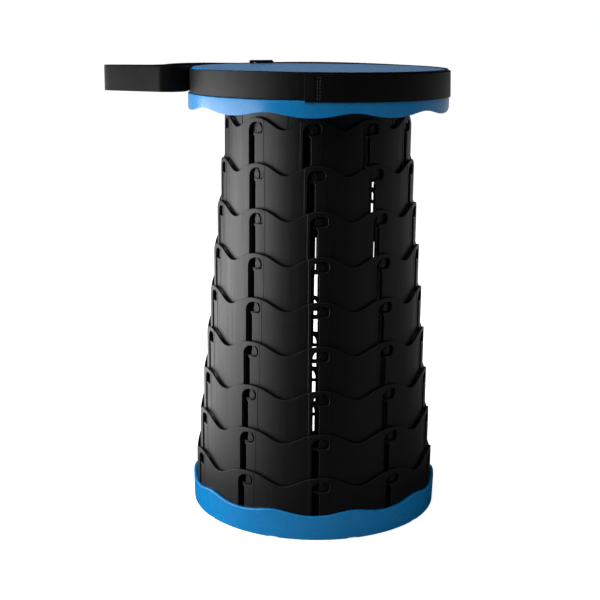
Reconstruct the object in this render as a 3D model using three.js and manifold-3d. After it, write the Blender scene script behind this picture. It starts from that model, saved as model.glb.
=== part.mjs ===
// Collapsible telescopic stool: a seat, ten nested rings and a cup base.
// Millimetres, +Z up, azimuth 0 at the front (-Y) and growing towards +X.
// The origin is the middle of the flat underside. The stool stands pulled out.
import * as THREE from "three";
import { mergeVertices } from "three/addons/utils/BufferGeometryUtils.js";
import Module from "manifold-3d";

const wasm = await Module();
wasm.setup();

// Driving dimensions of the telescope
const ringCount = 9;
const slotCount = 10;
const facetsPerSlot = 6;
const topRingRadius = 89.95;
const ringStep = 3.675;
const ringWall = 1.8;
const ringHeight = 57.5;
const crestDepth = 10.2;
const crestOffset = 5.45;
// Share of the wave's second harmonic, which widens the crests
const crestWidening = 0.12;
// Azimuth in degrees of each ring's slots, from the seat ring down: the rings lock a little askew
const ringTurns = [-6.2, -5.9, -3.1, -1.15, -0.2, 0.1, 0.25, 0.75, 1.0, 1.3];
const seatTurn = -2.8;

// Slot shaped as an upside-down J: a channel and a locking pocket to its right
const channelWidth = 7.3;
const pocketWidth = 9.3;
const headDrop = 4.0;
const headRoundHeight = 7.5;
const headRoundSteps = 3;
const pocketCorner = 3.0;

// Lug on the outside of each ring, which stands in the pocket of the next ring out
const lugWidth = 6.6;
const lugTall = 9.4;
const lugProud = 1.35;
const lugLift = 2.7;
const lugRoom = 0.6;
const lugInset = 3.5;
const lugFootShare = 0.6;
const lugShoulderShare = 0.33;

// Seat
const seatRingHeight = 50.6;
const seatFlangeThick = 2.5;
const seatBossInset = 9.3;
const seatBossWidth = 10.0;
const seatBossDrop = 5.0;
const seatPlate = 3.0;
const seatFit = 0.65;
const lipRound = 2.4;
const lipSteps = 2;
const grooveWall = 1.5;
const grooveHeight = 24.0;
const ledgeThick = 2.4;
const skirtWall = 1.8;
const skirtDrop = 12.8;
const edgeWave = 4.4;

// Base
const baseFit = 0.55;
const baseWall = 2.2;
const baseFlare = 0.8;
const baseFloor = 2.9;
const baseRimHeight = 26.2;
const footRound = 1.5;
const notchWidth = 9.0;
const notchHeight = 1.1;
const notchDepth = 3.0;

// Webbing strap
const webWidth = 24.2;
const webThick = 1.5;
const loopReach = 80.6;
const overlapDroop = 2.2;
// Azimuths in degrees of the second layer's ends, the strap's tail and the loop's two roots
const overlapStart = -7;
const overlapEnd = 112;
const tailAzimuth = -168;
const loopStart = -140;
const loopEnd = -99;
const loopTail = -104;
const loopSteps = 3;
// Free stretch of the carry loop as [azimuth, share of the loop's reach]
const loopShares = [
  [-135, 0.07],
  [-128, 0.27],
  [-119.4, 0.38],
  [-109.5, 0.395],
  [-100.4, 0.378],
  [-95.3, 0.48],
  [-93.1, 0.762],
  [-91.4, 0.975],
  [-90.3, 1.0],
  [-89.1, 0.965],
  [-86.5, 0.7],
  [-82.5, 0.362],
  [-82.1, 0.174],
  [-85.5, 0.057],
  [-91.8, 0.022],
];

// Slider on the strap
const sliderAzimuth = -152;
const sliderLength = 29.0;
const sliderRail = 2.3;
const sliderBar = 4.0;
const sliderBars = 3;
const sliderThick = 2.0;

// Screws that hold the seat ring under the seat
const screwCount = 5;
const screwHeadRadius = 3.6;
const screwHeadTall = 2.2;
const screwShankRadius = 1.75;
const screwBite = 3.4;
const screwSides = 8;

// Clearances
const touchGap = 0.3;
const overrun = 1.0;
const weldDepth = 0.5;
const mergeShare = 1e-4;

const degrees = THREE.MathUtils.degToRad;
const slotAngle = 360 / slotCount;
const facets = slotCount * facetsPerSlot;

// Drops below a ring's crest, and the lug's place to the right of its channel's middle
const pocketDrop = headDrop + lugTall + lugRoom;
const slotEndDrop = ringHeight - lugLift + touchGap;
const lugMiddle = channelWidth / 2 + lugInset;

// Each ring's lugs stand on the pocket floors of the next ring out
const ringPitch = ringHeight - pocketDrop - lugLift + touchGap;

// Outer radius and crest height of ring k; ring 0 is the one fixed under the seat
const ringBottom = baseFloor + touchGap;
const ringRadius = (k) => topRingRadius + (k - 1) * ringStep;
const ringCrest = (k) => ringBottom + ringHeight + (ringCount - k) * ringPitch;
const arcToDegrees = (arc, radius) => THREE.MathUtils.radToDeg(arc / radius);

// Radii of the base and the seat, which close over the widest ring
const widestRing = ringRadius(ringCount);
const baseInnerRadius = widestRing + baseFit;
const baseFootRadius = baseInnerRadius + baseWall;
const baseRimRadius = baseFootRadius + baseFlare;
const skirtInner = baseRimRadius + touchGap;
const skirtRadius = skirtInner + skirtWall;
const seatInnerRadius = widestRing + seatFit;
const grooveRadius = seatInnerRadius + grooveWall;
const seatBossRadius = ringRadius(0) - seatBossInset;
const seatBossInner = seatBossRadius - seatBossWidth / 2;
const seatBossOuter = seatBossRadius + seatBossWidth / 2;

// Heights of the seat, which stands on the top ring by its own ring
const seatRingBottom = ringCrest(1) - pocketDrop + touchGap - lugLift;
const seatFlangeTop = seatRingBottom + seatRingHeight;
const seatFlangeUnder = seatFlangeTop - seatFlangeThick;
const seatBossUnder = seatFlangeTop + touchGap;
const seatUnder = seatBossUnder + seatBossDrop;
const seatTop = seatUnder + seatPlate;
const ledgeTop = seatTop - grooveHeight;
const ledgeUnder = ledgeTop - ledgeThick;
const screwHeadTop = seatFlangeUnder - touchGap;
const screwTip = seatBossUnder + screwBite;

// Layers of the strap round the seat
const webBottom = ledgeTop + touchGap;
const bandInner = grooveRadius + touchGap;
const bandOuter = bandInner + webThick;
const layerInner = bandOuter + touchGap;
const layerMiddle = layerInner + webThick / 2;
const layerOuter = layerInner + webThick;

// A wave with wide crests and narrower troughs, 1 at its crest and 0 at its trough
function crestWave(azimuth, crestAzimuth) {
  const turn = degrees((azimuth - crestAzimuth) * slotCount);
  return (Math.cos(turn) - crestWidening * Math.cos(2 * turn) + 1 + crestWidening) / 2;
}

// Turns a geometry into a solid that can be joined and cut
function toSolid(geometry) {
  const bare = geometry.clone();
  bare.deleteAttribute("normal");
  bare.deleteAttribute("uv");
  const merged = mergeVertices(bare, mergeShare * ringWall);
  const corners = merged.index.array;
  const kept = [];
  for (let i = 0; i < corners.length; i += 3) {
    const [a, b, c] = [corners[i], corners[i + 1], corners[i + 2]];
    if (a !== b && b !== c && c !== a) kept.push(a, b, c);
  }
  return new wasm.Manifold(
    new wasm.Mesh({
      numProp: 3,
      vertProperties: Float32Array.from(merged.getAttribute("position").array),
      triVerts: Uint32Array.from(kept),
    })
  );
}

function toGeometry(solid) {
  const mesh = solid.getMesh();
  const geometry = new THREE.BufferGeometry();
  geometry.setAttribute("position", new THREE.BufferAttribute(Float32Array.from(mesh.vertProperties), 3));
  geometry.setIndex(new THREE.BufferAttribute(Uint32Array.from(mesh.triVerts), 1));
  geometry.computeVertexNormals();
  return geometry;
}

// Turns a closed profile of [radius, height, share of the wave] about Z, its edge waving up and down
function turned(profile, wave = () => 0, sides = facets, startAzimuth = 0) {
  const points = [...profile, profile[0]].map(([r, z]) => new THREE.Vector2(r, z));
  const geometry = new THREE.LatheGeometry(points, sides, degrees(startAzimuth));
  geometry.rotateX(Math.PI / 2);
  const place = geometry.getAttribute("position");
  for (let i = 0; i < place.count; i++) {
    const share = profile[i % points.length % profile.length][2] ?? 0;
    const azimuth = startAzimuth + (360 * Math.floor(i / points.length)) / sides;
    if (share) place.setZ(i, place.getZ(i) + share * wave(azimuth));
  }
  return geometry;
}

// Pushes a flat outline, x to the right and y up, outwards from radius near to radius far
function radialPrism(outline, near, far, azimuth) {
  const shape = new THREE.Shape(outline.map(([x, y]) => new THREE.Vector2(x, y)));
  const geometry = new THREE.ExtrudeGeometry(shape, { depth: far - near, bevelEnabled: false });
  geometry.rotateX(Math.PI / 2);
  geometry.translate(0, -near, 0);
  geometry.rotateZ(degrees(azimuth));
  return geometry;
}

function rectangle(width, low, high, middle = 0) {
  const half = width / 2;
  return [
    [middle - half, low],
    [middle + half, low],
    [middle + half, high],
    [middle - half, high],
  ];
}

// Outline of the J slot, x from the channel's middle and y from height zero up
function slotOutline(crest) {
  const left = -channelWidth / 2;
  const right = channelWidth / 2;
  const far = right + pocketWidth;
  const top = crest - headDrop;
  const points = [];
  for (let step = 0; step <= headRoundSteps; step++) {
    const turn = (step / headRoundSteps) * (Math.PI / 2);
    const x = left + channelWidth * (1 - Math.cos(turn));
    points.push([x, top - headRoundHeight * (1 - Math.sin(turn))]);
  }
  points.push([far - pocketCorner, top]);
  points.push([far, top - pocketCorner]);
  points.push([far, crest - pocketDrop]);
  points.push([right, crest - pocketDrop]);
  points.push([right, crest - slotEndDrop]);
  points.push([left, crest - slotEndDrop]);
  return points.reverse();
}

// Outline of a lug: a drop with its point up
function lugOutline(foot) {
  const half = lugWidth / 2;
  return [
    [-half * lugFootShare, foot],
    [half * lugFootShare, foot],
    [half, foot + lugTall * lugShoulderShare],
    [0, foot + lugTall],
    [-half, foot + lugTall * lugShoulderShare],
  ];
}

function lugAzimuth(k, index) {
  return ringTurns[k] + index * slotAngle + arcToDegrees(lugMiddle, ringRadius(k));
}

// The ten lugs of ring k stand on its outer face, just above its bottom edge
function addLugs(solid, k, bottom) {
  const radius = ringRadius(k);
  let whole = solid;
  for (let index = 0; index < slotCount; index++) {
    const outline = lugOutline(bottom + lugLift);
    const root = radius - ringWall + weldDepth;
    const lug = radialPrism(outline, root, radius + lugProud, lugAzimuth(k, index));
    whole = whole.add(toSolid(lug));
  }
  return whole;
}

// Ring k: a thin wavy tube with ten J slots and ten lugs
function slottedRing(k) {
  const radius = ringRadius(k);
  const crest = ringCrest(k);
  const bottom = crest - ringHeight;
  const crestAzimuth = ringTurns[k] + arcToDegrees(crestOffset, radius);
  const profile = [
    [radius - ringWall, bottom],
    [radius, bottom],
    [radius, crest - crestDepth, crestDepth],
    [radius - ringWall, crest - crestDepth, crestDepth],
  ];
  const wave = (azimuth) => crestWave(azimuth, crestAzimuth);
  let solid = toSolid(turned(profile, wave, facets, crestAzimuth));
  for (let index = 0; index < slotCount; index++) {
    const azimuth = ringTurns[k] + index * slotAngle;
    const cutter = radialPrism(slotOutline(crest), radius - ringWall - overrun, radius + overrun, azimuth);
    solid = solid.subtract(toSolid(cutter));
  }
  return toGeometry(addLugs(solid, k, bottom));
}

function screwPlace(index) {
  return degrees(seatTurn + ((index + 0.5) * 360) / screwCount);
}

// An upright post with flat sides, centred on one screw
function screwPost(radius, low, high, index) {
  const post = new THREE.CylinderGeometry(radius, radius, high - low, screwSides);
  post.rotateX(Math.PI / 2);
  const turn = screwPlace(index);
  post.translate(seatBossRadius * Math.sin(turn), -seatBossRadius * Math.cos(turn), (low + high) / 2);
  return post;
}

// The ring under the seat, with a flange that five screws pull against the seat's boss
function seatRing() {
  const radius = ringRadius(0);
  const profile = [
    [radius - ringWall, seatRingBottom],
    [radius, seatRingBottom],
    [radius, seatFlangeTop],
    [seatBossInner, seatFlangeTop],
    [seatBossInner, seatFlangeUnder],
    [radius - ringWall, seatFlangeUnder],
  ];
  let solid = addLugs(toSolid(turned(profile)), 0, seatRingBottom);
  for (let index = 0; index < screwCount; index++) {
    const radiusOfHole = screwShankRadius + touchGap;
    const hole = screwPost(radiusOfHole, seatFlangeUnder - overrun, seatFlangeTop + overrun, index);
    solid = solid.subtract(toSolid(hole));
  }
  return toGeometry(solid);
}

function seatScrew(index) {
  const head = screwPost(screwHeadRadius, screwHeadTop - screwHeadTall, screwHeadTop, index);
  const shank = screwPost(screwShankRadius, screwHeadTop - weldDepth, screwTip, index);
  return toGeometry(toSolid(head).add(toSolid(shank)));
}

// Seat: plate with a rounded lip, a groove for the strap, a ledge and a wavy skirt
function seatShell() {
  const lip = [];
  for (let step = 0; step <= lipSteps; step++) {
    const turn = (step / lipSteps) * (Math.PI / 2);
    lip.push([
      grooveRadius - lipRound * (1 - Math.cos(turn)),
      seatTop - lipRound * (1 - Math.sin(turn)),
    ]);
  }
  const skirtLow = ledgeTop - skirtDrop - edgeWave / 2;
  const profile = [
    [0, seatUnder],
    [seatBossInner, seatUnder],
    [seatBossInner, seatBossUnder],
    [seatBossOuter, seatBossUnder],
    [seatBossOuter, seatUnder],
    [seatInnerRadius, seatUnder],
    [seatInnerRadius, ledgeUnder],
    [skirtInner, ledgeUnder],
    [skirtInner, skirtLow, edgeWave],
    [skirtRadius, skirtLow, edgeWave],
    [skirtRadius, ledgeTop],
    [grooveRadius, ledgeTop],
    ...lip,
    [0, seatTop],
  ];
  const wave = (azimuth) => 1 - crestWave(azimuth, seatTurn);
  let solid = toSolid(turned(profile, wave, facets, seatTurn));
  for (let index = 0; index < screwCount; index++) {
    const radiusOfHole = screwShankRadius + touchGap;
    const hole = screwPost(radiusOfHole, seatBossUnder - overrun, screwTip + touchGap, index);
    solid = solid.subtract(toSolid(hole));
  }
  return toGeometry(solid);
}

// Base: a shallow cup with a wavy rim, notches under its edge and recesses for the lowest ring's lugs
function baseShell() {
  const rimLow = baseRimHeight - edgeWave / 2;
  const profile = [
    [0, 0],
    [baseFootRadius - footRound, 0],
    [baseFootRadius, footRound],
    [baseRimRadius, rimLow, edgeWave],
    [baseInnerRadius, rimLow, edgeWave],
    [baseInnerRadius, baseFloor],
    [0, baseFloor],
  ];
  const wave = (azimuth) => 1 - crestWave(azimuth, 0);
  let solid = toSolid(turned(profile, wave));
  const lugRadius = widestRing + lugProud;
  const lugFoot = ringBottom + lugLift;
  for (let index = 0; index < slotCount; index++) {
    const notch = rectangle(notchWidth, -overrun, notchHeight);
    const near = baseFootRadius - notchDepth;
    const notchSolid = radialPrism(notch, near, baseFootRadius + overrun, (index + 0.5) * slotAngle);
    const recess = rectangle(lugWidth + 2 * touchGap, lugFoot - touchGap, lugFoot + lugTall + touchGap);
    const inside = baseInnerRadius - overrun;
    const recessSolid = radialPrism(recess, inside, lugRadius + touchGap, lugAzimuth(ringCount, index));
    solid = solid.subtract(toSolid(notchSolid)).subtract(toSolid(recessSolid));
  }
  return toGeometry(solid);
}

// A stretch of webbing standing on edge, from a list of plan points on its middle line
function webbing(plan, low) {
  const left = [];
  const right = [];
  plan.forEach((point, i) => {
    const before = plan[Math.max(i - 1, 0)];
    const after = plan[Math.min(i + 1, plan.length - 1)];
    const along = new THREE.Vector2().subVectors(after, before).normalize();
    const side = new THREE.Vector2(-along.y, along.x).multiplyScalar(webThick / 2);
    left.push(new THREE.Vector2().addVectors(point, side));
    right.push(new THREE.Vector2().subVectors(point, side));
  });
  const shape = new THREE.Shape([...right, ...left.reverse()]);
  const geometry = new THREE.ExtrudeGeometry(shape, { depth: webWidth, bevelEnabled: false });
  geometry.translate(0, 0, low);
  return toGeometry(toSolid(geometry));
}

const polar = (radius, azimuth) =>
  new THREE.Vector2(radius * Math.sin(degrees(azimuth)), -radius * Math.cos(degrees(azimuth)));

function strapBand() {
  const top = webBottom + webWidth;
  return toGeometry(
    toSolid(turned([[bandInner, webBottom], [bandOuter, webBottom], [bandOuter, top], [bandInner, top]]))
  );
}

// Second layer of the strap, which hangs a little over the ledge at the right of the seat
function strapOverlap() {
  const low = webBottom - overlapDroop;
  const high = low + webWidth;
  const foot = skirtRadius + touchGap;
  const hoop = turned([
    [foot, low],
    [foot + webThick, low],
    [layerOuter, high],
    [layerInner, high],
  ]);
  const middle = (overlapStart + overlapEnd) / 2;
  // Far enough out for both chords of the sector to clear the hoop
  const reach = (foot + webThick + overrun) / Math.cos(degrees((middle - overlapStart) / 2));
  const sector = new THREE.Shape([
    new THREE.Vector2(0, 0),
    polar(reach, overlapStart),
    polar(reach, middle),
    polar(reach, overlapEnd),
  ]);
  const slice = new THREE.ExtrudeGeometry(sector, { depth: high - low + 2 * overrun, bevelEnabled: false });
  slice.translate(0, 0, low - overrun);
  return toGeometry(toSolid(hoop).intersect(toSolid(slice)));
}

// How far the strap rises over the slider's middle bar, at an arc from the bar's middle
function sliderRise(arc) {
  const full = sliderThick + webThick + 3 * touchGap;
  const reach = sliderLength / 2 - sliderBar - touchGap;
  const flat = sliderBar / 2 + webThick;
  const share = THREE.MathUtils.clamp((reach - Math.abs(arc)) / (reach - flat), 0, 1);
  return full * THREE.MathUtils.smoothstep(share, 0, 1);
}

// The loop's strap runs from behind the slider, over its middle bar, out to the left and back
function strapLoop() {
  const points = [];
  for (let azimuth = tailAzimuth; azimuth <= loopStart; azimuth += 1) {
    const arc = degrees(azimuth - sliderAzimuth) * layerMiddle;
    points.push(polar(layerMiddle + sliderRise(arc), azimuth));
  }
  const free = loopShares.map(([azimuth, share]) => polar(layerMiddle + share * loopReach, azimuth));
  const ends = [loopStart, loopEnd, loopTail].map((azimuth) => polar(layerMiddle, azimuth));
  const guide = [ends[0], ...free, ends[1], ends[2]];
  const curve = new THREE.SplineCurve(guide);
  points.push(...curve.getPoints(loopSteps * guide.length).slice(1));
  return webbing(points, webBottom);
}

// Slider: a flat frame with three upright bars
function strapSlider() {
  const low = webBottom - touchGap;
  const high = webBottom + webWidth + touchGap;
  const window = (sliderLength - sliderBars * sliderBar) / (sliderBars - 1);
  const near = layerOuter + touchGap;
  const far = near + sliderThick;
  const outline = rectangle(sliderLength, low - sliderRail, high + sliderRail);
  let solid = toSolid(radialPrism(outline, near, far, sliderAzimuth));
  for (const side of [-1, 1]) {
    const hole = rectangle(window, low, high, (side * (window + sliderBar)) / 2);
    solid = solid.subtract(toSolid(radialPrism(hole, near - overrun, far + overrun, sliderAzimuth)));
  }
  return toGeometry(solid);
}

// Materials
const plastic = (colour, roughness) =>
  new THREE.MeshStandardMaterial({ color: colour, roughness: roughness, metalness: 0 });
const bluePlastic = plastic(0x1d74b8, 0.35);
const blackPlastic = plastic(0x18181a, 0.5);
const webbingCloth = plastic(0x151516, 0.9);
const screwSteel = new THREE.MeshStandardMaterial({ color: 0xb4b6b8, roughness: 0.35, metalness: 1 });

const stool = new THREE.Group();
stool.name = "telescopic_stool";

function place(name, geometry, material, parent) {
  const mesh = new THREE.Mesh(geometry, material.clone());
  mesh.name = name;
  parent.add(mesh);
}

const seat = new THREE.Group();
const strap = new THREE.Group();
const tube = new THREE.Group();
seat.add(strap);
stool.add(seat, tube);

place("base_shell", baseShell(), bluePlastic, stool);
for (let k = ringCount; k >= 1; k--) {
  place(`ring_${k}`, slottedRing(k), blackPlastic, tube);
}
place("seat_ring", seatRing(), blackPlastic, seat);
place("seat_shell", seatShell(), bluePlastic, seat);
for (let index = 0; index < screwCount; index++) {
  place(`seat_screw_${index + 1}`, seatScrew(index), screwSteel, seat);
}
place("strap_band", strapBand(), webbingCloth, strap);
place("strap_overlap", strapOverlap(), webbingCloth, strap);
place("strap_loop", strapLoop(), webbingCloth, strap);
place("strap_slider", strapSlider(), blackPlastic, strap);

export default stool;
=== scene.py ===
import math

import bpy
from mathutils import Matrix, Vector


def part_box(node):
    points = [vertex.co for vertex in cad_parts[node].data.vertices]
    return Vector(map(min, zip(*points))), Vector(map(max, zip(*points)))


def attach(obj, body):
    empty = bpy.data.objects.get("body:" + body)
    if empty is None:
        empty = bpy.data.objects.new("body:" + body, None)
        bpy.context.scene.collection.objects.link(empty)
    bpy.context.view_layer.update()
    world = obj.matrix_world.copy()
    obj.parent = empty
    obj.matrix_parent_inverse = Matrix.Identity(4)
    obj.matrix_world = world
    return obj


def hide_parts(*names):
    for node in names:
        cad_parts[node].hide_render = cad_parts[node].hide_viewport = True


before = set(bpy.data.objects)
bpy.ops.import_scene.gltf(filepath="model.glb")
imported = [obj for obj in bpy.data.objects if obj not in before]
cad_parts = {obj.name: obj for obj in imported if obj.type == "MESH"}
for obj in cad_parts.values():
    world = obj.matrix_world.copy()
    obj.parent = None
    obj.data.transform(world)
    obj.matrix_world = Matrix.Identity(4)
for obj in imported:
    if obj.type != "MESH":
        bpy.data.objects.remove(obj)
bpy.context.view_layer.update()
print("frame loaded:", len(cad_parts), "nodes")


# Small tools

tools = {
    # how near points are merged, the room when points are picked, how far a cutter stands out
    "weld": 0.002, "seam": 0.005, "cut": 0.0001, "slack": 0.1, "overshoot": 2.0,
}


def metres(value):
    return value / 1000


def hexColour(code):
    channels = [int(code[i:i + 2], 16) / 255 for i in (0, 2, 4)]
    linear = [c / 12.92 if c <= 0.04045 else ((c + 0.055) / 1.055) ** 2.4 for c in channels]
    return (*linear, 1.0)


def nodeTop(node):
    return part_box(node)[1].z * 1000


def nodeBottom(node):
    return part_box(node)[0].z * 1000


def pick(*pieces):
    bpy.ops.object.select_all(action="DESELECT")
    for piece in pieces:
        piece.select_set(True)
    bpy.context.view_layer.objects.active = pieces[0]


def applyModifier(piece, kind, **settings):
    modifier = piece.modifiers.new(kind.lower(), kind)
    for key, value in settings.items():
        setattr(modifier, key, value)
    pick(piece)
    bpy.ops.object.modifier_apply(modifier=modifier.name)


def applyPlace(piece):
    pick(piece)
    bpy.ops.object.transform_apply(location=True, rotation=True, scale=True)


def shift(piece, x=0, y=0):
    piece.data.transform(Matrix.Translation((metres(x), metres(y), 0)))


def turnBy(piece, azimuth):
    piece.data.transform(Matrix.Rotation(math.radians(azimuth), 4, "Z"))


def editPoints(piece, test, operator, **settings):
    # runs one edit-mode operator on the points whose place passes the test
    pick(piece)
    bpy.ops.object.mode_set(mode="EDIT")
    bpy.ops.mesh.select_mode(type="VERT")
    bpy.ops.mesh.select_all(action="DESELECT")
    bpy.ops.object.mode_set(mode="OBJECT")
    for point in piece.data.vertices:
        point.select = test(point.co)
    bpy.ops.object.mode_set(mode="EDIT")
    operator(**settings)
    bpy.ops.object.mode_set(mode="OBJECT")


def everyPoint(place):
    return True


def weld(piece):
    editPoints(piece, everyPoint, bpy.ops.mesh.remove_doubles, threshold=metres(tools["weld"]))


def cutAcross(piece, place, **settings):
    # cuts the piece along the plane x = place
    editPoints(piece, everyPoint, bpy.ops.mesh.bisect, plane_co=(metres(place), 0, 0),
               plane_no=(1, 0, 0), threshold=metres(tools["cut"]), **settings)


def faceOutwards(piece):
    editPoints(piece, everyPoint, bpy.ops.mesh.normals_make_consistent, inside=False)


def smooth(piece, angle=38):
    pick(piece)
    bpy.ops.object.shade_smooth_by_angle(angle=math.radians(angle))
    applyModifier(piece, "WEIGHTED_NORMAL", keep_sharp=True)


def joinPieces(pieces):
    pick(*pieces)
    bpy.ops.object.join()
    return bpy.context.object


def combine(piece, tool, operation, crossing=False):
    # a boolean with another mesh, which is used up
    applyModifier(piece, "BOOLEAN", operation=operation, object=tool, solver="EXACT",
                  use_self=crossing)
    bpy.data.objects.remove(tool)


def copyRound(piece, count, firstAzimuth=0.0):
    # copies a mesh made at azimuth 0 to evenly spaced azimuths and joins the copies
    copies = []
    for index in range(count):
        copy = piece.copy()
        copy.data = piece.data.copy()
        bpy.context.collection.objects.link(copy)
        turnBy(copy, firstAzimuth + index * 360 / count)
        copies.append(copy)
    bpy.data.objects.remove(piece)
    return joinPieces(copies)


def arc(centre, radii, startTurn, endTurn, steps):
    # points of an elliptical arc, both ends included
    points = []
    for step in range(steps + 1):
        turn = math.radians(startTurn + (endTurn - startTurn) * step / steps)
        points.append((centre[0] + radii[0] * math.cos(turn), centre[1] + radii[1] * math.sin(turn)))
    return points


def flatPlate(name, outlines, thick, rounding):
    # a plate standing in the XZ plane with rounded edges: its front at y 0, its back at y = thick
    curve = bpy.data.curves.new(name, "CURVE")
    curve.dimensions = "2D"
    curve.fill_mode = "BOTH"
    curve.extrude = metres(thick / 2 - rounding)
    curve.bevel_depth = metres(rounding)
    curve.bevel_resolution = 2
    curve.offset = -metres(rounding)
    for outline in outlines:
        spline = curve.splines.new("POLY")
        spline.points.add(len(outline) - 1)
        for point, (x, z) in zip(spline.points, outline):
            point.co = (metres(x), metres(z), 0, 1)
        spline.use_cyclic_u = True
    piece = bpy.data.objects.new(name, curve)
    bpy.context.collection.objects.link(piece)
    pick(piece)
    bpy.ops.object.convert(target="MESH")
    piece = bpy.context.object
    piece.rotation_euler = (math.radians(90), 0, 0)
    piece.location = (0, metres(thick / 2), 0)
    applyPlace(piece)
    weld(piece)
    faceOutwards(piece)
    return piece


def lathe(name, profile, sides, closed=False):
    # turns a profile of (radius, height) about Z; an open profile starts and ends on the axis
    curve = bpy.data.curves.new(name, "CURVE")
    curve.dimensions = "3D"
    spline = curve.splines.new("POLY")
    spline.points.add(len(profile) - 1)
    for point, (radius, height) in zip(spline.points, profile):
        point.co = (metres(radius), 0, metres(height), 1)
    spline.use_cyclic_u = closed
    piece = bpy.data.objects.new(name, curve)
    bpy.context.collection.objects.link(piece)
    pick(piece)
    bpy.ops.object.convert(target="MESH")
    piece = bpy.context.object
    applyModifier(piece, "SCREW", axis="Z", angle=2 * math.pi, steps=sides, render_steps=sides,
                  use_merge_vertices=True, merge_threshold=metres(tools["seam"]))
    weld(piece)
    faceOutwards(piece)
    return piece


def addBlock(low, high):
    middle = [metres((a + b) / 2) for a, b in zip(low, high)]
    bpy.ops.mesh.primitive_cube_add(size=1, location=middle)
    block = bpy.context.object
    block.scale = [metres(b - a) for a, b in zip(low, high)]
    applyPlace(block)
    return block


def azimuthOf(point):
    return math.degrees(math.atan2(point.x, -point.y))


def polar(radius, azimuth):
    turn = math.radians(azimuth)
    return radius * math.sin(turn), -radius * math.cos(turn)


def waveEdge(piece, sides, lowAzimuth, depth, test):
    # lifts the points that pass the test into ten waves, one phase of the wave at a time
    phases = sides // ring["slots"]
    width = 360 / sides
    for phase in range(1, phases):
        share = 1 - crestWave(2 * math.pi * phase / phases)
        editPoints(
            piece,
            lambda p: test(p) and round((azimuthOf(p) - lowAzimuth) / width) % phases == phase,
            bpy.ops.transform.translate, value=(0, 0, metres(depth * share)))


def feed(tree, node, inputs):
    # an input is a value, or the output socket that feeds it
    for key, value in inputs.items():
        if isinstance(value, bpy.types.NodeSocket):
            tree.links.new(value, node.inputs[key])
        else:
            node.inputs[key].default_value = value


def addNode(tree, kind, settings=None, inputs=None):
    node = tree.nodes.new(kind)
    for key, value in (settings or {}).items():
        setattr(node, key, value)
    feed(tree, node, inputs or {})
    return node


def maths(tree, operation, *inputs):
    node = addNode(tree, "ShaderNodeMath", {"operation": operation}, dict(enumerate(inputs)))
    return node.outputs[0]


def ramp(tree, value, fromRange=(0.0, 1.0), toRange=(0.0, 1.0)):
    share = addNode(tree, "ShaderNodeMapRange", {}, {
        "Value": value, "From Min": fromRange[0], "From Max": fromRange[1],
        "To Min": toRange[0], "To Max": toRange[1]})
    return share.outputs[0]


def blend(tree, share, *colours):
    # between two colours, each of them a hex code or a socket
    first, second = (hexColour(c) if isinstance(c, str) else c for c in colours)
    mix = addNode(tree, "ShaderNodeMix", {"data_type": "RGBA"}, {
        "Factor": share, 6: first, 7: second})
    return mix.outputs[2]


def addNoise(tree, place, scale, detail):
    noise = addNode(tree, "ShaderNodeTexNoise", {}, {
        "Vector": place, "Scale": scale, "Detail": detail})
    return noise.outputs["Fac"]


def addBump(tree, height, strength, depth):
    bump = addNode(tree, "ShaderNodeBump", {}, {
        "Height": height, "Strength": strength, "Distance": metres(depth)})
    return bump.outputs[0]


def placeOf(tree, output="Object"):
    return addNode(tree, "ShaderNodeTexCoord").outputs[output]


def splitPlace(tree, place):
    return addNode(tree, "ShaderNodeSeparateXYZ", {}, {0: place}).outputs


def pointValue(tree, name):
    return addNode(tree, "ShaderNodeAttribute", {"attribute_name": name}).outputs["Fac"]


# Camera and light

camera = {
    "place": (0, -1178.84, 474.65), "yaw": -0.7642, "pitchDown": 12.9565, "roll": 0.5802,
    "focalLength": 72.626, "sensor": 36.0,
}


def addCamera():
    yaw, pitch, roll = (math.radians(camera[key]) for key in ("yaw", "pitchDown", "roll"))
    reach = math.cos(pitch)
    ahead = Vector((math.sin(yaw) * reach, math.cos(yaw) * reach, -math.sin(pitch)))
    level = Vector((math.cos(yaw), -math.sin(yaw), 0))
    upright = level.cross(ahead)
    right = level * math.cos(roll) + upright * math.sin(roll)
    up = upright * math.cos(roll) - level * math.sin(roll)
    turn = Matrix((right, up, -ahead)).transposed()
    place = [metres(value) for value in camera["place"]]
    bpy.ops.object.camera_add(location=place, rotation=turn.to_euler())
    view = bpy.context.object
    view.data.sensor_fit = "HORIZONTAL"
    view.data.sensor_width = camera["sensor"]
    view.data.lens = camera["focalLength"]
    bpy.context.scene.camera = view


lamps = {
    # azimuth, height and distance of each softbox, its size and power, and the rays it's hidden from
    "key": {"azimuth": -98, "height": 520, "distance": 1000, "size": (1600, 1300), "power": 32,
            "hidden": "visible_glossy"},
    "strip": {"azimuth": -82, "height": 180, "distance": 700, "size": (1020, 370), "power": 7.1,
              "hidden": "visible_diffuse"},
    "fill": {"azimuth": -20, "height": 1500, "distance": 1150, "size": (900, 900), "power": 6},
    "rim": {"azimuth": 70, "height": 50, "distance": 900, "size": (1200, 400), "power": 0.62,
            "hidden": "visible_diffuse"},
}
studio = {
    "aim": (0, 0, 215), "ambient": 0.3, "backdrop": (0.96, 1.0), "mirrorGlow": 0.31,
    "white": "ffffff", "paper": "e6e6e6", "shadow": "000000",
    "floorSize": 12000, "floorFront": -300, "floorSink": 0.3, "floorGlow": 0.8,
    "floorBack": (150, 900), "shadeNear": (190, 250), "shadeFar": 0.78, "shadeLeft": (-280, -190),
    "leftGlow": 1.15,
}


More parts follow.
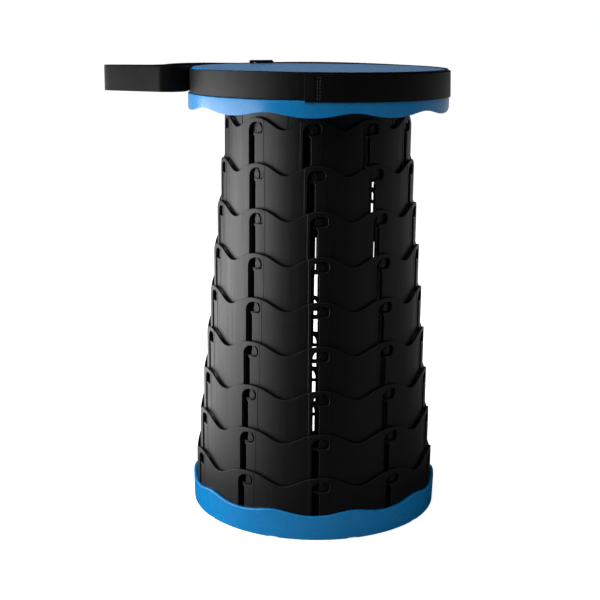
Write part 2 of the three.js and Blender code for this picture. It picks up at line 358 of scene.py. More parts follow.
def addLamps():
    aim = Vector([metres(value) for value in studio["aim"]])
    for name, lamp in lamps.items():
        turn = math.radians(lamp["azimuth"])
        place = Vector((
            metres(lamp["distance"]) * math.sin(turn),
            -metres(lamp["distance"]) * math.cos(turn),
            metres(lamp["height"])))
        facing = (aim - place).to_track_quat("-Z", "Y").to_euler()
        bpy.ops.object.light_add(type="AREA", location=place, rotation=facing)
        light = bpy.context.object
        light.name = name + "_softbox"
        light.data.shape = "RECTANGLE"
        light.data.size, light.data.size_y = (metres(side) for side in lamp["size"])
        light.data.energy = lamp["power"]
        if "hidden" in lamp:
            setattr(light, lamp["hidden"], False)


def rayShares(tree, behind):
    # how much of the white backdrop a ray sees: all of it from the camera or through glass, a share
    # when mirrored towards the back, and none when mirrored to the dark room behind the camera;
    # and whether it is mirrored to that room
    path = addNode(tree, "ShaderNodeLightPath").outputs
    backwards = maths(tree, "MULTIPLY", path["Is Glossy Ray"], behind)
    mirrored = maths(tree, "MULTIPLY", backwards, studio["mirrorGlow"])
    direct = maths(tree, "MAXIMUM", path["Is Camera Ray"], path["Is Transmission Ray"])
    forwards = maths(tree, "SUBTRACT", path["Is Glossy Ray"], backwards)
    return maths(tree, "MAXIMUM", direct, mirrored), forwards


def addWorld():
    world = bpy.data.worlds.new("studio")
    bpy.context.scene.world = world
    world.use_nodes = True
    tree = world.node_tree
    tree.nodes.clear()
    parts = splitPlace(tree, placeOf(tree, "Generated"))
    seen = rayShares(tree, ramp(tree, parts["Y"], studio["backdrop"]))[0]
    diffuse = addNode(tree, "ShaderNodeLightPath").outputs["Is Diffuse Ray"]
    level = maths(tree, "MULTIPLY_ADD", diffuse, studio["ambient"], seen)
    back = addNode(tree, "ShaderNodeBackground", {}, {
        "Color": hexColour(studio["white"]), "Strength": level})
    addNode(tree, "ShaderNodeOutputWorld", {}, {"Surface": back.outputs[0]})


def addFloor():
    size = studio["floorSize"]
    # the paper lies a hair under the base, so that the two don't lie in one plane
    spot = (0, metres(size / 2 + studio["floorFront"]), -metres(studio["floorSink"]))
    bpy.ops.mesh.primitive_plane_add(size=metres(size), location=spot)
    floor = bpy.context.object
    floor.name = "floor"
    applyPlace(floor)
    paper = bpy.data.materials.new("white_paper_sweep")
    paper.use_nodes = True
    tree = paper.node_tree
    tree.nodes.clear()
    ranges = ("floorBack", "shadeNear", "shadeLeft")
    back, near, left = ([metres(edge) for edge in studio[key]] for key in ranges)
    place = placeOf(tree)
    parts = splitPlace(tree, place)
    seen, forwards = rayShares(tree, ramp(tree, parts["Y"], back))
    # in reflections the paper in front is painted dark, darkest round the foot, as painted shade, and
    # to the left it glows as painted light
    away = addNode(tree, "ShaderNodeVectorMath", {"operation": "LENGTH"}, {0: place}).outputs["Value"]
    nearness = ramp(tree, away, near, (1.0, studio["shadeFar"]))
    dark = maths(tree, "MULTIPLY", nearness, ramp(tree, parts["X"], left))
    shade = maths(tree, "MULTIPLY", forwards, dark)
    matt = addNode(tree, "ShaderNodeBsdfDiffuse", {}, {
        "Color": blend(tree, shade, studio["paper"], studio["shadow"])})
    bright = maths(tree, "MULTIPLY", forwards, ramp(tree, parts["X"], left, (studio["leftGlow"], 0.0)))
    level = maths(tree, "MULTIPLY_ADD", seen, studio["floorGlow"], bright)
    glow = addNode(tree, "ShaderNodeEmission", {}, {
        "Color": hexColour(studio["white"]), "Strength": level})
    both = addNode(tree, "ShaderNodeAddShader", {}, {0: matt.outputs[0], 1: glow.outputs[0]})
    addNode(tree, "ShaderNodeOutputMaterial", {}, {"Surface": both.outputs[0]})
    floor.data.materials.append(paper)


bpy.context.scene.view_settings.view_transform = "Standard"
addCamera()
addLamps()
addWorld()
addFloor()
print("camera, lamps and floor added")


# Materials. A noise is its scale, as waves in a metre, and its detail.


def newMaterial(name):
    material = bpy.data.materials.new(name)
    material.use_nodes = True
    return material, material.node_tree, material.node_tree.nodes["Principled BSDF"]


def grainBump(tree, place, settings):
    grain = addNoise(tree, place, 1000 / settings["grain"], settings["grainDetail"])
    return addBump(tree, grain, settings["grainStrength"], settings["grainDepth"])


mouldedBlack = {
    # lip is a lighter colour for the rounded edges, partly painted highlight and partly wear; step is
    # painted shade for the step in the channel
    "deep": "08080a", "worn": "0f0f11", "lip": "1c1c1f", "step": "020202", "cloud": (28.0, 4.0),
    "roughness": (0.4, 0.5), "specular": 0.28, "stepShadeSpecular": 0.03,
    "rub": (1.0, 3.0), "rubStretch": (400.0, 400.0, 12.0), "rubRange": (0.3, 0.7),
    "grain": 1.1, "grainDetail": 2.0, "grainStrength": 0.25, "grainDepth": 0.03,
}


def blackPolypropylene():
    # black polypropylene from a spark-eroded mould: satin, a fine grain, rubbed along the slide
    settings = mouldedBlack
    material, tree, shader = newMaterial("moulded_black_polypropylene")
    place, rim = placeOf(tree), pointValue(tree, "rim")
    tone = blend(tree, addNoise(tree, place, *settings["cloud"]), settings["deep"], settings["worn"])
    # the rounded edges are painted lighter: partly a painted highlight, partly wear
    lip = blend(tree, rim, tone, settings["lip"])
    # painted shade: the step in the channel gets a near-black colour and little shine
    unshadedShare = ramp(tree, rim, (-1.0, 0.0))
    stretched = addNode(tree, "ShaderNodeMapping", {}, {
        "Vector": place, "Scale": settings["rubStretch"]})
    rubs = addNoise(tree, stretched.outputs[0], *settings["rub"])
    feed(tree, shader, {
        "Base Color": blend(tree, unshadedShare, settings["step"], lip),
        "Specular IOR Level": ramp(
            tree, unshadedShare, toRange=(settings["stepShadeSpecular"], settings["specular"])),
        "Roughness": ramp(tree, rubs, settings["rubRange"], settings["roughness"]),
        "Normal": grainBump(tree, place, settings)})
    return material


mouldedBlue = {
    # inside is painted shade: a near-black colour for the cup's floor
    "deep": "0070ac", "light": "0078b6", "inside": "000a10", "cloud": (14.0, 5.0),
    "roughness": (0.23, 0.3), "specular": 0.52, "scuff": (90.0, 6.0), "scuffRange": (0.35, 0.7),
    "grain": 0.9, "grainDetail": 2.0, "grainStrength": 0.2, "grainDepth": 0.01,
}


def bluePolypropylene():
    # blue polypropylene from a polished mould: a soft gloss, faint flow clouds, small scuffs
    settings = mouldedBlue
    material, tree, shader = newMaterial("moulded_blue_polypropylene")
    place = placeOf(tree)
    tone = blend(tree, addNoise(tree, place, *settings["cloud"]), settings["deep"], settings["light"])
    scuffs = addNoise(tree, place, *settings["scuff"])
    feed(tree, shader, {
        # the cup's floor is painted near-black as painted shade
        "Base Color": blend(tree, pointValue(tree, "inside"), tone, settings["inside"]),
        "Specular IOR Level": settings["specular"],
        "Roughness": ramp(tree, scuffs, settings["scuffRange"], settings["roughness"]),
        "Normal": grainBump(tree, place, settings)})
    return material


wovenPolyester = {
    "yarn": "0b0b0c", "gap": "030303", "rib": 1.6, "pick": 1.2, "depth": 0.25, "strength": 0.4,
    "fuzz": (420.0, 4.0), "fuzzShare": 0.5,
    "roughness": 0.38, "specular": 0.2, "sheen": 0.02, "thread": "3c3c40",
}


def polyesterWebbing():
    # black polyester webbing, plain woven: ribs along the strap crossed by the weft; the threads
    # of the real one are about 0.6 mm apart and are drawn twice as coarse so that they show
    settings = wovenPolyester
    material, tree, shader = newMaterial("woven_black_polyester")
    parts = splitPlace(tree, addNode(tree, "ShaderNodeUVMap", {"uv_map": "weave"}).outputs[0])
    waves = []
    for axis, spacing in (("X", settings["pick"]), ("Y", settings["rib"])):
        phase = maths(tree, "MULTIPLY", parts[axis], 2 * math.pi / metres(spacing))
        waves.append(maths(tree, "SINE", phase))
    weave = ramp(tree, maths(tree, "MULTIPLY", *waves), (-1.0, 1.0))
    fuzz = addNoise(tree, placeOf(tree), *settings["fuzz"])
    mixed = maths(tree, "MULTIPLY_ADD", fuzz, settings["fuzzShare"], weave)
    tone = blend(tree, mixed, settings["gap"], settings["yarn"])
    feed(tree, shader, {
        "Base Color": blend(tree, pointValue(tree, "thread"), tone, settings["thread"]),
        "Normal": addBump(tree, mixed, settings["strength"], settings["depth"]),
        "Roughness": settings["roughness"], "Specular IOR Level": settings["specular"],
        "Sheen Weight": settings["sheen"]})
    return material


mouldedAcetal = {
    "colour": "0a0a0b", "worn": "101011", "marks": (260.0, 4.0), "roughness": (0.32, 0.42),
}


def blackAcetal():
    # black acetal, the usual plastic of strap buckles: harder and shinier than the rings
    settings = mouldedAcetal
    material, tree, shader = newMaterial("moulded_black_acetal")
    marks = addNoise(tree, placeOf(tree), *settings["marks"])
    feed(tree, shader, {
        "Base Color": blend(tree, marks, settings["colour"], settings["worn"]),
        "Roughness": ramp(tree, marks, toRange=settings["roughness"])})
    return material


platedSteel = {
    "bright": "c4c6c8", "dull": "8e9092", "patches": (500.0, 3.0), "roughness": (0.22, 0.4),
}


def zincPlatedSteel():
    # zinc-plated steel, tumbled: metallic with cloudy patches
    settings = platedSteel
    material, tree, shader = newMaterial("zinc_plated_steel")
    patches = addNoise(tree, placeOf(tree), *settings["patches"])
    feed(tree, shader, {
        "Base Color": blend(tree, patches, settings["dull"], settings["bright"]),
        "Roughness": ramp(tree, patches, toRange=settings["roughness"]), "Metallic": 1.0})
    return material


blackPlastic = blackPolypropylene()
bluePlastic = bluePolypropylene()
webbingCloth = polyesterWebbing()
sliderPlastic = blackAcetal()
screwSteel = zincPlatedSteel()
print("materials made")


def finish(piece, material, body, slot, *nodes):
    piece.data.materials.clear()
    piece.data.materials.append(material)
    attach(piece, body)
    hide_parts(*nodes)


# Slotted rings

ring = {
    "count": 9, "slots": 10, "columns": 24,
    "topRadius": 89.95, "radiusStep": 3.675, "wall": 1.8, "lip": 0.45,
    "crestDepth": 10.2, "crestOffset": 5.45, "crestWidening": 0.12, "crestSteps": 44,
    "overhang": 0.05, "flatAngle": 0.5,
    "turns": (-6.5, -6.2, -3.4, -1.45, -0.5, -0.2, -0.05, 0.45, 0.7, 1.0),
    "channelWidth": 7.3, "pocketWidth": 9.3, "headDrop": 4.0, "headReach": 8.8, "headRound": 8.6,
    "pocketRound": 3.8, "floorRound": 3.2, "pocketDrop": 14.0, "endRound": 1.0, "endLand": 2.4,
    "nubReach": 1.3, "nubTall": 3.0, "nubRound": 0.8,
    "ledge": 1.5, "ledgeDepth": 1.45, "ledgeRound": 0.1, "ledgeRoot": 0.7, "ledgeShort": 0.05,
    "stripLeft": -6.0, "stripRight": 14.0, "stripRise": 0.25, "faceSlack": 0.05, "rimSlack": 0.02,
}
lug = {
    "width": 6.6, "tall": 9.4, "proud": 1.35, "lift": 2.7, "lip": 0.45, "steps": 12, "wideAt": 0.33,
    "footShare": 0.6, "taper": 1.7, "inset": 3.5,
}


def ringRadius(k):
    return ring["topRadius"] + (k - 1) * ring["radiusStep"]


def crestWave(turn):
    # wide crests and narrower troughs, 1 at the crest and 0 at the trough
    widening = ring["crestWidening"]
    return (math.cos(turn) - widening * math.cos(2 * turn) + 1 + widening) / 2


def slotOutline(crest, bottom, inset=0.0, pocketInset=0.0):
    # an upside-down J: a channel drawn in by the inset, with a locking pocket to its right
    half = ring["channelWidth"] / 2
    left, right, far = inset - half, half - inset, half + ring["pocketWidth"] - pocketInset
    top, floor = crest - ring["headDrop"] - pocketInset, crest - ring["pocketDrop"] + pocketInset
    end = bottom + ring["endLand"] + inset
    reach, tall = ring["headReach"] - inset, ring["headRound"] - pocketInset
    small, corner, low = ring["endRound"], ring["pocketRound"], ring["floorRound"]
    nub, nubRound = half - pocketInset - ring["nubReach"], ring["nubRound"]
    points = arc((left + reach, top - tall), (reach, tall), 180, 90, 12)
    points += arc((far - corner, top - corner), (corner, corner), 90, 0, 6)
    points += arc((far - low, floor + low), (low, low), 0, -90, 6)
    points += arc((nub + nubRound, floor - nubRound), (nubRound, nubRound), 90, 180, 4)
    points += [(nub, floor - ring["nubTall"] + ring["nubReach"]), (right, floor - ring["nubTall"])]
    points += arc((right - small, end + small), (small, small), 0, -90, 3)
    points += arc((left + small, end + small), (small, small), -90, -180, 3)
    return points


def lugOutline(foot):
    # a drop with its point up
    half, steps, wideAt = lug["width"] / 2, lug["steps"], lug["wideAt"]
    side = []
    for step in range(steps + 1):
        share = step / steps
        if share < wideAt:
            rise = share / wideAt
            width = lug["footShare"] + (1 - lug["footShare"]) * math.sin(rise * math.pi / 2)
        else:
            width = 1 - ((share - wideAt) / (1 - wideAt)) ** lug["taper"]
        side.append((half * width, foot + lug["tall"] * share))
    return side + [(-x, z) for x, z in reversed(side[:-1])]


def lugMiddle():
    return ring["channelWidth"] / 2 + lug["inset"]


def lugPlate(bottom):
    plate = flatPlate("lug", [lugOutline(bottom + lug["lift"])], 2 * lug["proud"], lug["lip"])
    shift(plate, y=-lug["proud"])
    return plate


def addLug(panel, bottom):
    plate = lugPlate(bottom)
    shift(plate, x=lugMiddle())
    combine(panel, plate, "UNION")


def addLedge(panel, crest, bottom):
    # the channel is stepped: it is narrower at the ring's inner face than at its mouth
    thick, root = ring["wall"] - ring["ledgeDepth"] - ring["ledgeShort"], -ring["ledgeRoot"]
    insets = ((root, root), (ring["ledge"], root / 2))
    outlines = [slotOutline(crest, bottom, *pair) for pair in insets]
    rebate = flatPlate("ledge", outlines, thick, ring["ledgeRound"])
    shift(rebate, y=ring["ledgeDepth"])
    combine(panel, rebate, "UNION", crossing=True)


def cutColumns(panel, places, pitch):
    # trims the panel to one pitch, then cuts it where it will bend
    cutAcross(panel, -pitch / 2, clear_inner=True)
    cutAcross(panel, pitch / 2, clear_outer=True)
    for place in places:
        cutAcross(panel, place)


def markWearHighlightAndShade(panel):
    # 1 on the rounded edges, which catch the light and wear first and are painted lighter, partly as a
    # painted highlight and partly as wear; and -1 on the step in the channel, which is painted
    # near-black and dull as painted shade
    rims = panel.data.attributes.new("rim", "FLOAT", "POINT")
    slack = ring["rimSlack"]
    edge, lip = metres(slack), metres(ring["lip"])
    step, inner = metres(ring["ledgeDepth"] - slack), metres(ring["wall"] - slack)
    for point, value in zip(panel.data.vertices, rims.data):
        depth = point.co.y
        if edge < depth < lip:
            value.value = 1.0
        elif step < depth < inner:
            value.value = -1.0


def wrapPanel(panel, radius, turn):
    # ten panels side by side, bent into a ring whose outer face has the given radius
    count = ring["slots"]
    pitch = 2 * math.pi * radius / count
    applyModifier(panel, "ARRAY", count=count, use_relative_offset=False, use_constant_offset=True,
                  constant_offset_displace=(metres(pitch), 0, 0), use_merge_vertices=True,
                  merge_threshold=metres(tools["weld"]))
    shift(panel, x=-pitch * (count - 1) / 2)
    applyModifier(panel, "SIMPLE_DEFORM", deform_method="BEND", deform_axis="Z", angle=2 * math.pi)
    shift(panel, y=-radius)
    turnBy(panel, turn + 180 / count)  # the array's middle lies between two panels
    weld(panel)
    smooth(panel)


def slottedRing(k):
    node = f"ring_{k}"
    radius, crest, bottom = ringRadius(k), nodeTop(node), nodeBottom(node)
    pitch = 2 * math.pi * radius / ring["slots"]
    over, steps, top = pitch * ring["overhang"], ring["crestSteps"], []
    for step in range(steps + 1):
        x = (pitch / 2 + over) * (1 - 2 * step / steps)
        wave = crestWave(2 * math.pi * (x - ring["crestOffset"]) / pitch)
        top.append((x, crest + ring["crestDepth"] * (wave - 1)))
    outer = [(-pitch / 2 - over, bottom), (pitch / 2 + over, bottom)] + top
    outlines = [outer, slotOutline(crest, bottom)]
    panel = flatPlate(node + "_moulding", outlines, ring["wall"], ring["lip"])
    addLedge(panel, crest, bottom)
    addLug(panel, bottom)
    editPoints(panel, everyPoint, bpy.ops.mesh.dissolve_limited,
               angle_limit=math.radians(ring["flatAngle"]))
    places = [pitch * (column / ring["columns"] - 0.5) for column in range(1, ring["columns"])]
    left, right, rise = ring["stripLeft"], ring["stripRight"], ring["stripRise"]
    places += [left, left - rise, right, right + rise]
    cutColumns(panel, places, pitch)
    markWearHighlightAndShade(panel)
    low, high = metres(left - rise / 2), metres(right + rise / 2)
    front, back = -metres(ring["faceSlack"]), metres(ring["lip"] + tools["slack"])
    editPoints(panel, lambda p: low < p.x < high and front < p.y < back,
               bpy.ops.transform.translate, value=(0, -metres(rise), 0))
    wrapPanel(panel, radius, ring["turns"][k])
    return panel


for k in range(ring["count"], 0, -1):
    body = "base" if k == ring["count"] else f"ring_{k}_body"
    finish(slottedRing(k), blackPlastic, body, "black_ring", f"ring_{k}")
    print("ring", k, "modelled")


# Seat ring, under the seat

seatRing = {
    "wall": 1.8, "round": 0.5, "flangeInner": 71.98, "flangeThick": 2.5, "sides": 180,
    "screws": 5, "holeRadius": 2.05, "holePlace": 76.98, "holeDeep": 4.0, "holeSides": 24,
    "fillet": 0.8, "ribs": 10, "ribAzimuth": -18.8, "ribWidth": 1.1, "ribProud": 0.45, "ribRoot": 1.0,
    "ribInset": 1.2,
}
seatTurn = -2.8


def screwAzimuth():
    return seatTurn + 180 / seatRing["screws"]


def drillHoles(piece, height, deep):
    # the screws' holes, which reach this deep to both sides of the height
    bpy.ops.mesh.primitive_cylinder_add(
        vertices=seatRing["holeSides"], radius=metres(seatRing["holeRadius"]),
        depth=metres(2 * deep), location=(0, -metres(seatRing["holePlace"]), metres(height)))
    hole = bpy.context.object
    applyPlace(hole)
    combine(piece, copyRound(hole, seatRing["screws"], screwAzimuth()), "DIFFERENCE")


def seatRingMoulding():
    low, high = nodeBottom("seat_ring"), nodeTop("seat_ring")
    outer, wall, lip = ringRadius(0), seatRing["wall"], seatRing["round"]
    inner, under, fillet = outer - wall, high - seatRing["flangeThick"], seatRing["fillet"]
    profile = arc((outer - lip, low + lip), (lip, lip), -90, 0, 3)
    profile += arc((outer - lip, high - lip), (lip, lip), 0, 90, 3)
    profile += [(seatRing["flangeInner"], high), (seatRing["flangeInner"], under)]
    profile += arc((inner - fillet, under - fillet), (fillet, fillet), 90, 0, 4)
    profile += arc((inner + lip, low + lip), (lip, lip), 180, 270, 3)[:-1]
    piece = lathe("seat_ring_moulding", profile, seatRing["sides"], closed=True)
    plate = lugPlate(low)
    shift(plate, y=-outer)
    turn = ring["turns"][0] + math.degrees(lugMiddle() / outer)
    combine(piece, copyRound(plate, ring["slots"], turn), "UNION")
    half, inset = seatRing["ribWidth"] / 2, seatRing["ribInset"]
    rib = addBlock((-half, -outer - seatRing["ribProud"], low + inset),
                   (half, seatRing["ribRoot"] - outer, high - inset))
    combine(piece, copyRound(rib, seatRing["ribs"], seatRing["ribAzimuth"]), "UNION")
    drillHoles(piece, high, seatRing["holeDeep"])
    smooth(piece)
    return piece


finish(seatRingMoulding(), blackPlastic, "seat", "black_ring", "seat_ring")
print("seat ring modelled")


# Seat

seat = {
    "lipRadius": 121.5, "lipRound": 2.4, "ledgeDrop": 24.0, "ledgeThick": 2.4, "ledgeRound": 0.5,
    "skirtRadius": 125.0, "skirtInner": 123.2, "skirtDrop": 12.8, "skirtWall": 5.0, "rimRound": 0.8,
    "rimStep": 0.4, "middle": 60.0, "wallInner": 120.0, "plateThick": 3.0, "bossInner": 71.98,
    "bossOuter": 81.98, "bossDrop": 5.0, "holeDeep": 3.7, "wave": 4.4, "sides": 240,
}


def seatMoulding():
    top = nodeTop("seat_shell")
    under = top - seat["plateThick"]
    ledge, ledgeUnder = top - seat["ledgeDrop"], top - seat["ledgeDrop"] - seat["ledgeThick"]
    low = ledge - seat["skirtDrop"] - seat["wave"] / 2
    lip, small, rim = seat["lipRound"], seat["ledgeRound"], seat["rimRound"]
    wall, skirt, inside = seat["lipRadius"], seat["skirtRadius"], seat["skirtInner"]
    bossLow, bossIn, bossOut = under - seat["bossDrop"], seat["bossInner"], seat["bossOuter"]
    profile = [(0, top), (seat["middle"], top)] + arc((wall - lip, top - lip), (lip, lip), 90, 0, 7)
    profile += arc((wall + small, ledge + small), (small, small), 180, 270, 2)
    profile += arc((skirt - small, ledge - small), (small, small), 90, 0, 3)
    profile += [(skirt, ledge - seat["skirtWall"])]
    profile += arc((skirt - rim, low + rim), (rim, rim), 0, -90, 4)
    profile += [(inside, low + seat["rimStep"]), (inside, ledge - seat["skirtWall"])]
    profile += [(inside, ledgeUnder)]
    profile += [(seat["wallInner"], ledgeUnder), (seat["wallInner"], under), (bossOut, under)]
    profile += [(bossOut, bossLow), (bossIn, bossLow), (bossIn, under), (0, under)]
    piece = lathe("seat_moulding", profile, seat["sides"])
    turnBy(piece, seatTurn)
    edge = metres(low + rim + tools["slack"])
    waveEdge(piece, seat["sides"], seatTurn, seat["wave"], lambda p: p.z < edge)
    drillHoles(piece, bossLow, seat["holeDeep"])
    smooth(piece)
    return piece


finish(seatMoulding(), bluePlastic, "seat", "blue_shell", "seat_shell")
print("seat modelled")


# Base

base = {
    "footRadius": 122.1, "footRound": 1.5, "rimRadius": 122.9, "rimHeight": 26.2, "rimRound": 1.0,
    "inner": 119.9, "innerRound": 0.6, "floor": 2.9, "fillet": 1.0, "middle": 60.0, "wave": 4.4,
    "sides": 240, "notchWidth": 9.0, "notchTall": 1.1, "notchDeep": 3.0, "recessRoom": 0.3,
}


def markPaintedCupShade(piece):
    # 1 on the cup's floor, which is painted near-black as painted shade so that black shows through
    # the lowest slots
    inside = piece.data.attributes.new("inside", "FLOAT", "POINT")
    low, high = metres(base["floor"] / 2), metres(base["floor"] + base["fillet"] + tools["slack"])
    reach = metres(base["inner"] + tools["slack"])
    for point, value in zip(piece.data.vertices, inside.data):
        if low < point.co.z < high and point.co.xy.length < reach:
            value.value = 1.0


def baseMoulding():
    foot, rim, inner, floor = (base[key] for key in ("footRadius", "rimRadius", "inner", "floor"))
    keys = ("footRound", "rimRound", "innerRound", "fillet")
    footRound, lip, small, fillet = (base[key] for key in keys)
    low = base["rimHeight"] - base["wave"] / 2
    profile = [(0, 0), (base["middle"], 0)]
    profile += arc((foot - footRound, footRound), (footRound, footRound), -90, 0, 4)
    profile += arc((rim - lip, low - lip), (lip, lip), 0, 90, 4)
    profile += arc((inner + small, low - small), (small, small), 90, 180, 3)
    profile += arc((inner - fillet, floor + fillet), (fillet, fillet), 0, -90, 3)
    profile += [(0, floor)]
    piece = lathe("base_moulding", profile, base["sides"])
    edge = metres(low - lip - tools["slack"])
    waveEdge(piece, base["sides"], 0, base["wave"], lambda p: p.z > edge)
    half, over = base["notchWidth"] / 2, tools["overshoot"]
    notch = addBlock((-half, -foot - over, -over),
                     (half, base["notchDeep"] - foot, base["notchTall"]))
    combine(piece, copyRound(notch, ring["slots"], 180 / ring["slots"]), "DIFFERENCE")
    radius, room = ringRadius(ring["count"]), base["recessRoom"]
    lugLow = nodeBottom("ring_9") + lug["lift"]
    side = lug["width"] / 2 + room
    recess = addBlock((-side, -radius - lug["proud"] - room, lugLow - room),
                      (side, over - inner, lugLow + lug["tall"] + room))
    turn = ring["turns"][ring["count"]] + math.degrees(lugMiddle() / radius)
    combine(piece, copyRound(recess, ring["slots"], turn), "DIFFERENCE")
    markPaintedCupShade(piece)
    smooth(piece)
    return piece


finish(baseMoulding(), bluePlastic, "base", "blue_shell", "base_shell")
print("base modelled")


# Strap

web = {
    "width": 24.2, "thick": 1.5, "round": 0.5, "roundShare": 0.35, "bottom": 408.3, "smoothAngle": 50,
    "bandMiddle": 122.55, "layerMiddle": 124.35, "bandSeam": -154,
    "riseMiddle": 180, "rise": 0.9, "riseWidth": 55,
    "sagMiddle": -92, "sag": 2.2, "sagWidth": 75, "sagSteps": 11,
    "overlapStart": -5.4, "overlapEnd": 112, "overlapMiddle": 125.3, "overlapThick": 1.2,
    "overlapLean": 1.8, "overlapDroop": 1.6, "overlapSteps": 118,
    "tail": -168, "loopStart": -140, "loopEnd": -99, "loopTail": -104, "loopReach": 80.6,
    "guideSteps": 12, "sliderAzimuth": -152, "segment": 3.0, "loopSegment": 1.5,
}
hem = {
    # the overlap's folded end and the two rows of stitches that hold it
    "fold": 8.6, "foldThick": 0.7, "rows": (10.8, 13.2), "stitch": 2.5, "stitches": 7, "margin": 1.6,
    "thread": 0.32, "sides": 10, "rings": 6, "segment": 1.4,
}
# free stretch of the carry loop: azimuth and share of the loop's reach
loopPlan = (
    (-135, 0.07), (-128, 0.27), (-119.4, 0.38), (-109.5, 0.395), (-100.4, 0.378), (-95.3, 0.48),
    (-93.1, 0.762), (-91.4, 0.975), (-90.3, 1.0), (-89.1, 0.965), (-86.5, 0.7), (-84.5, 0.514),
    (-82.5, 0.366), (-81.9, 0.318), (-82.1, 0.174), (-85.5, 0.057), (-91.8, 0.022),
)


def pathLength(points):
    return sum(math.dist(a, b) for a, b in zip(points, points[1:]))


def flatStrap(name, length, segment, thick):
    # a straight strap standing on edge along X, cut where it will bend
    half = web["width"] / 2
    outline = [(0, -half), (length, -half), (length, half), (0, half)]
    strap = flatPlate(name, [outline], thick, min(web["round"], thick * web["roundShare"]))
    shift(strap, y=-thick / 2)
    for step in range(1, int(length / segment)):
        cutAcross(strap, step * segment)
    weave = strap.data.uv_layers.new(name="weave")
    for corner, spot in zip(strap.data.loops, weave.data):
        place = strap.data.vertices[corner.vertex_index].co
        spot.uv = (place.x, place.z)
    return strap


def bendAlong(strap, points):
    curve = bpy.data.curves.new("route", "CURVE")
    curve.dimensions = "3D"
    curve.twist_mode = "Z_UP"
    spline = curve.splines.new("POLY")
    spline.points.add(len(points) - 1)
    for point, place in zip(spline.points, points):
        point.co = (*[metres(value) for value in place], 1)
    route = bpy.data.objects.new("route", curve)
    bpy.context.collection.objects.link(route)
    applyModifier(strap, "CURVE", object=route, deform_axis="POS_X")
    bpy.data.objects.remove(route)
    smooth(strap, web["smoothAngle"])
    return strap


def swell(azimuth, middle, width):
    # 1 at the middle azimuth, falling smoothly to 0 at the width's ends
    away = abs((azimuth - middle + 180) % 360 - 180) / width
    return (1 + math.cos(math.pi * away)) / 2 if away < 1 else 0


def sagShare(x, length):
    azimuth = web["bandSeam"] + x * 1000 / length * 360
    return swell(azimuth, web["sagMiddle"], web["sagWidth"])


def bandStrap():
    middle = web["bottom"] + web["width"] / 2
    points = []
    for step in range(361):  # a point at each degree
        azimuth = web["bandSeam"] + step
        rise = web["rise"] * swell(azimuth, web["riseMiddle"], web["riseWidth"])
        points.append((*polar(web["bandMiddle"], azimuth), middle + rise))
    length = pathLength(points)
    strap = flatStrap("band_webbing", length, web["segment"], web["thick"])
    steps = web["sagSteps"]
    for step in range(steps):  # the top edge sags beside the loop
        editPoints(strap, lambda p: p.z > 0 and steps * sagShare(p.x, length) > step + 0.5,
                   bpy.ops.transform.translate, value=(0, 0, -metres(web["sag"] / steps)))
    return bendAlong(strap, points)


def addHem(strap):
    # the end is folded over and sewn down; the strap's outer face is at -Y and it starts at x 0
    half, front = web["width"] / 2, -web["overlapThick"] / 2
    fold = flatStrap("fold", hem["fold"], hem["segment"], hem["foldThick"])
    shift(fold, y=front - hem["foldThick"] / 2)
    pieces = [strap, fold]
    pitch = (web["width"] - 2 * hem["margin"]) / hem["stitches"]
    for row in hem["rows"]:
        for number in range(hem["stitches"]):
            low = hem["margin"] - half + pitch * (number + 0.5)
            bpy.ops.mesh.primitive_uv_sphere_add(
                segments=hem["sides"], ring_count=hem["rings"], radius=metres(hem["thread"]),
                location=(metres(row), metres(front), metres(low)))
            stitch = bpy.context.object
            stitch.scale = (1, 1, hem["stitch"] / 2 / hem["thread"])
            applyPlace(stitch)
            stitch.data.uv_layers[0].name = "weave"
            stitch.data.attributes.new("thread", "FLOAT", "POINT").data.foreach_set(
                "value", [1.0] * len(stitch.data.vertices))
            pieces.append(stitch)
    return joinPieces(pieces)


def overlapStrap():
    middle = web["bottom"] - web["overlapDroop"] + web["width"] / 2
    steps, points = web["overlapSteps"], []
    for step in range(steps + 1):
        azimuth = web["overlapStart"] + (web["overlapEnd"] - web["overlapStart"]) * step / steps
        points.append((*polar(web["overlapMiddle"], azimuth), middle))
    strap = flatStrap("overlap_webbing", pathLength(points), web["segment"], web["overlapThick"])
    strap = addHem(strap)
    editPoints(strap, everyPoint, bpy.ops.transform.rotate, value=math.radians(web["overlapLean"]),
               orient_axis="X", center_override=(0, 0, 0))
    return bendAlong(strap, points)


def sliderRise(away):
    # the strap climbs over the slider's middle bar
    full = slider["thick"] + web["thick"] + 3 * slider["gap"]
    reach = slider["length"] / 2 - slider["bar"] - slider["gap"]
    flat = slider["bar"] / 2 + web["thick"]
    share = min(max((reach - abs(away)) / (reach - flat), 0), 1)
    return full * share * share * (3 - 2 * share)


def throughPoints(points, steps):
    # a smooth run through the points
    run = []
    padded = [points[0]] + points + [points[-1]]
    for a, b, c, d in zip(padded, padded[1:], padded[2:], padded[3:]):
        for step in range(steps):
            t = step / steps
            run.append(tuple(
                0.5 * (2 * q + (r - p) * t + (2 * p - 5 * q + 4 * r - s) * t * t
                       + (3 * q - p - 3 * r + s) * t ** 3)
                for p, q, r, s in zip(a, b, c, d)))
    return run + [points[-1]]


def loopStrap():
    middle = web["bottom"] + web["width"] / 2
    layer = web["layerMiddle"]
    points = []
    for azimuth in range(web["tail"], web["loopStart"]):
        away = math.radians(azimuth - web["sliderAzimuth"]) * layer
        points.append(polar(layer + sliderRise(away), azimuth))
    guide = [polar(layer, web["loopStart"])]
    guide += [polar(layer + share * web["loopReach"], azimuth) for azimuth, share in loopPlan]
    guide += [polar(layer, web["loopEnd"]), polar(layer, web["loopTail"])]
    points = [(x, y, middle) for x, y in points + throughPoints(guide, web["guideSteps"])]
    strap = flatStrap("loop_webbing", pathLength(points), web["loopSegment"], web["thick"])
    return bendAlong(strap, points)


slider = {
    "length": 29.0, "rail": 2.55, "bar": 4.0, "thick": 2.0, "gap": 0.3, "fit": 0.05,
    "corner": 3.2, "square": 0.9, "windowRound": 0.8, "round": 0.6, "near": 125.4,
}


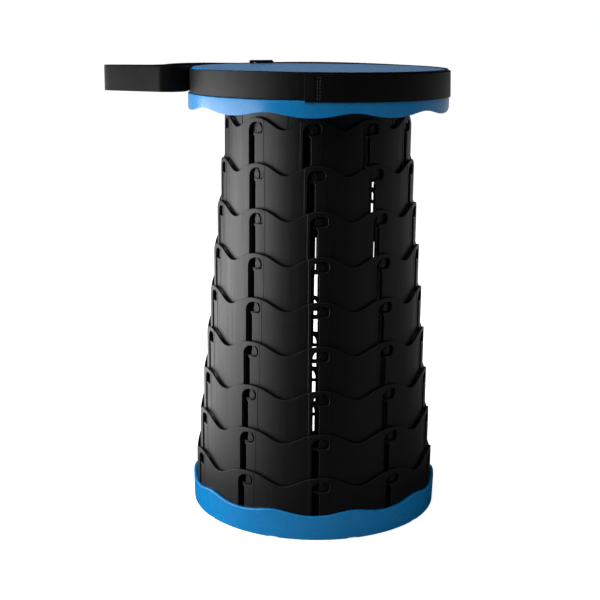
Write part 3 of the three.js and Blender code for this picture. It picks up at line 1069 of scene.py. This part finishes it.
def sliderFrame():
    # the windows fit the strap so closely that no light comes past its edges
    low, high = web["bottom"] - slider["fit"], web["bottom"] + web["width"] + slider["fit"]
    bottom, top, half = low - slider["rail"], high + slider["rail"], slider["length"] / 2
    cut, square = slider["corner"], slider["square"]
    outlines = [[
        (cut - half, bottom), (half - square, bottom), (half, bottom + square), (half, top - square),
        (half - square, top), (cut - half, top), (-half, top - cut), (-half, bottom + cut)]]
    window, small = (slider["length"] - 3 * slider["bar"]) / 2, slider["windowRound"]
    for side in (-1, 1):
        middle = side * (window + slider["bar"]) / 2
        left, right = middle - window / 2, middle + window / 2
        corners = (
            (right - small, high - small, 90), (right - small, low + small, 0),
            (left + small, low + small, -90), (left + small, high - small, 180))
        outlines.append([
            point for x, z, turn in corners
            for point in arc((x, z), (small, small), turn, turn - 90, 3)])
    piece = flatPlate("slider_moulding", outlines, slider["thick"], slider["round"])
    shift(piece, y=-slider["near"] - slider["thick"])
    turnBy(piece, web["sliderAzimuth"])
    smooth(piece)
    return piece


finish(bandStrap(), webbingCloth, "seat", "black_webbing", "strap_band")
finish(overlapStrap(), webbingCloth, "seat", "black_webbing", "strap_overlap")
finish(loopStrap(), webbingCloth, "seat", "black_webbing", "strap_loop")
finish(sliderFrame(), sliderPlastic, "seat", "black_slider", "strap_slider")
print("strap and slider modelled")


# Screws

screw = {
    "headRadius": 3.6, "headTall": 2.2, "crown": 1.1, "shankRadius": 1.75, "tipTall": 1.2,
    "tipShare": 0.3, "recessLong": 3.8, "recessWide": 0.8, "recessDeep": 1.3, "sides": 32,
}


def seatScrews():
    low, high = nodeBottom("seat_screw_1"), nodeTop("seat_screw_1")
    head, crown, shank = screw["headRadius"], screw["crown"], screw["shankRadius"]
    seatLine = low + screw["headTall"]
    profile = [(0, low)] + arc((head - crown, low + crown), (crown, crown), -90, 0, 4)
    profile += [(head, seatLine), (shank, seatLine), (shank, high - screw["tipTall"])]
    profile += [(shank * screw["tipShare"], high), (0, high)]
    piece = lathe("screw", profile, screw["sides"])
    long, wide = screw["recessLong"] / 2, screw["recessWide"] / 2
    for x, y in ((long, wide), (wide, long)):
        bar = addBlock((-x, -y, low - tools["overshoot"]), (x, y, low + screw["recessDeep"]))
        combine(piece, bar, "DIFFERENCE")
    shift(piece, y=-seatRing["holePlace"])
    piece = copyRound(piece, seatRing["screws"], screwAzimuth())
    smooth(piece)
    return piece


screwNodes = [f"seat_screw_{number}" for number in range(1, seatRing["screws"] + 1)]
finish(seatScrews(), screwSteel, "seat", "screw_steel", *screwNodes)
print("screws modelled")
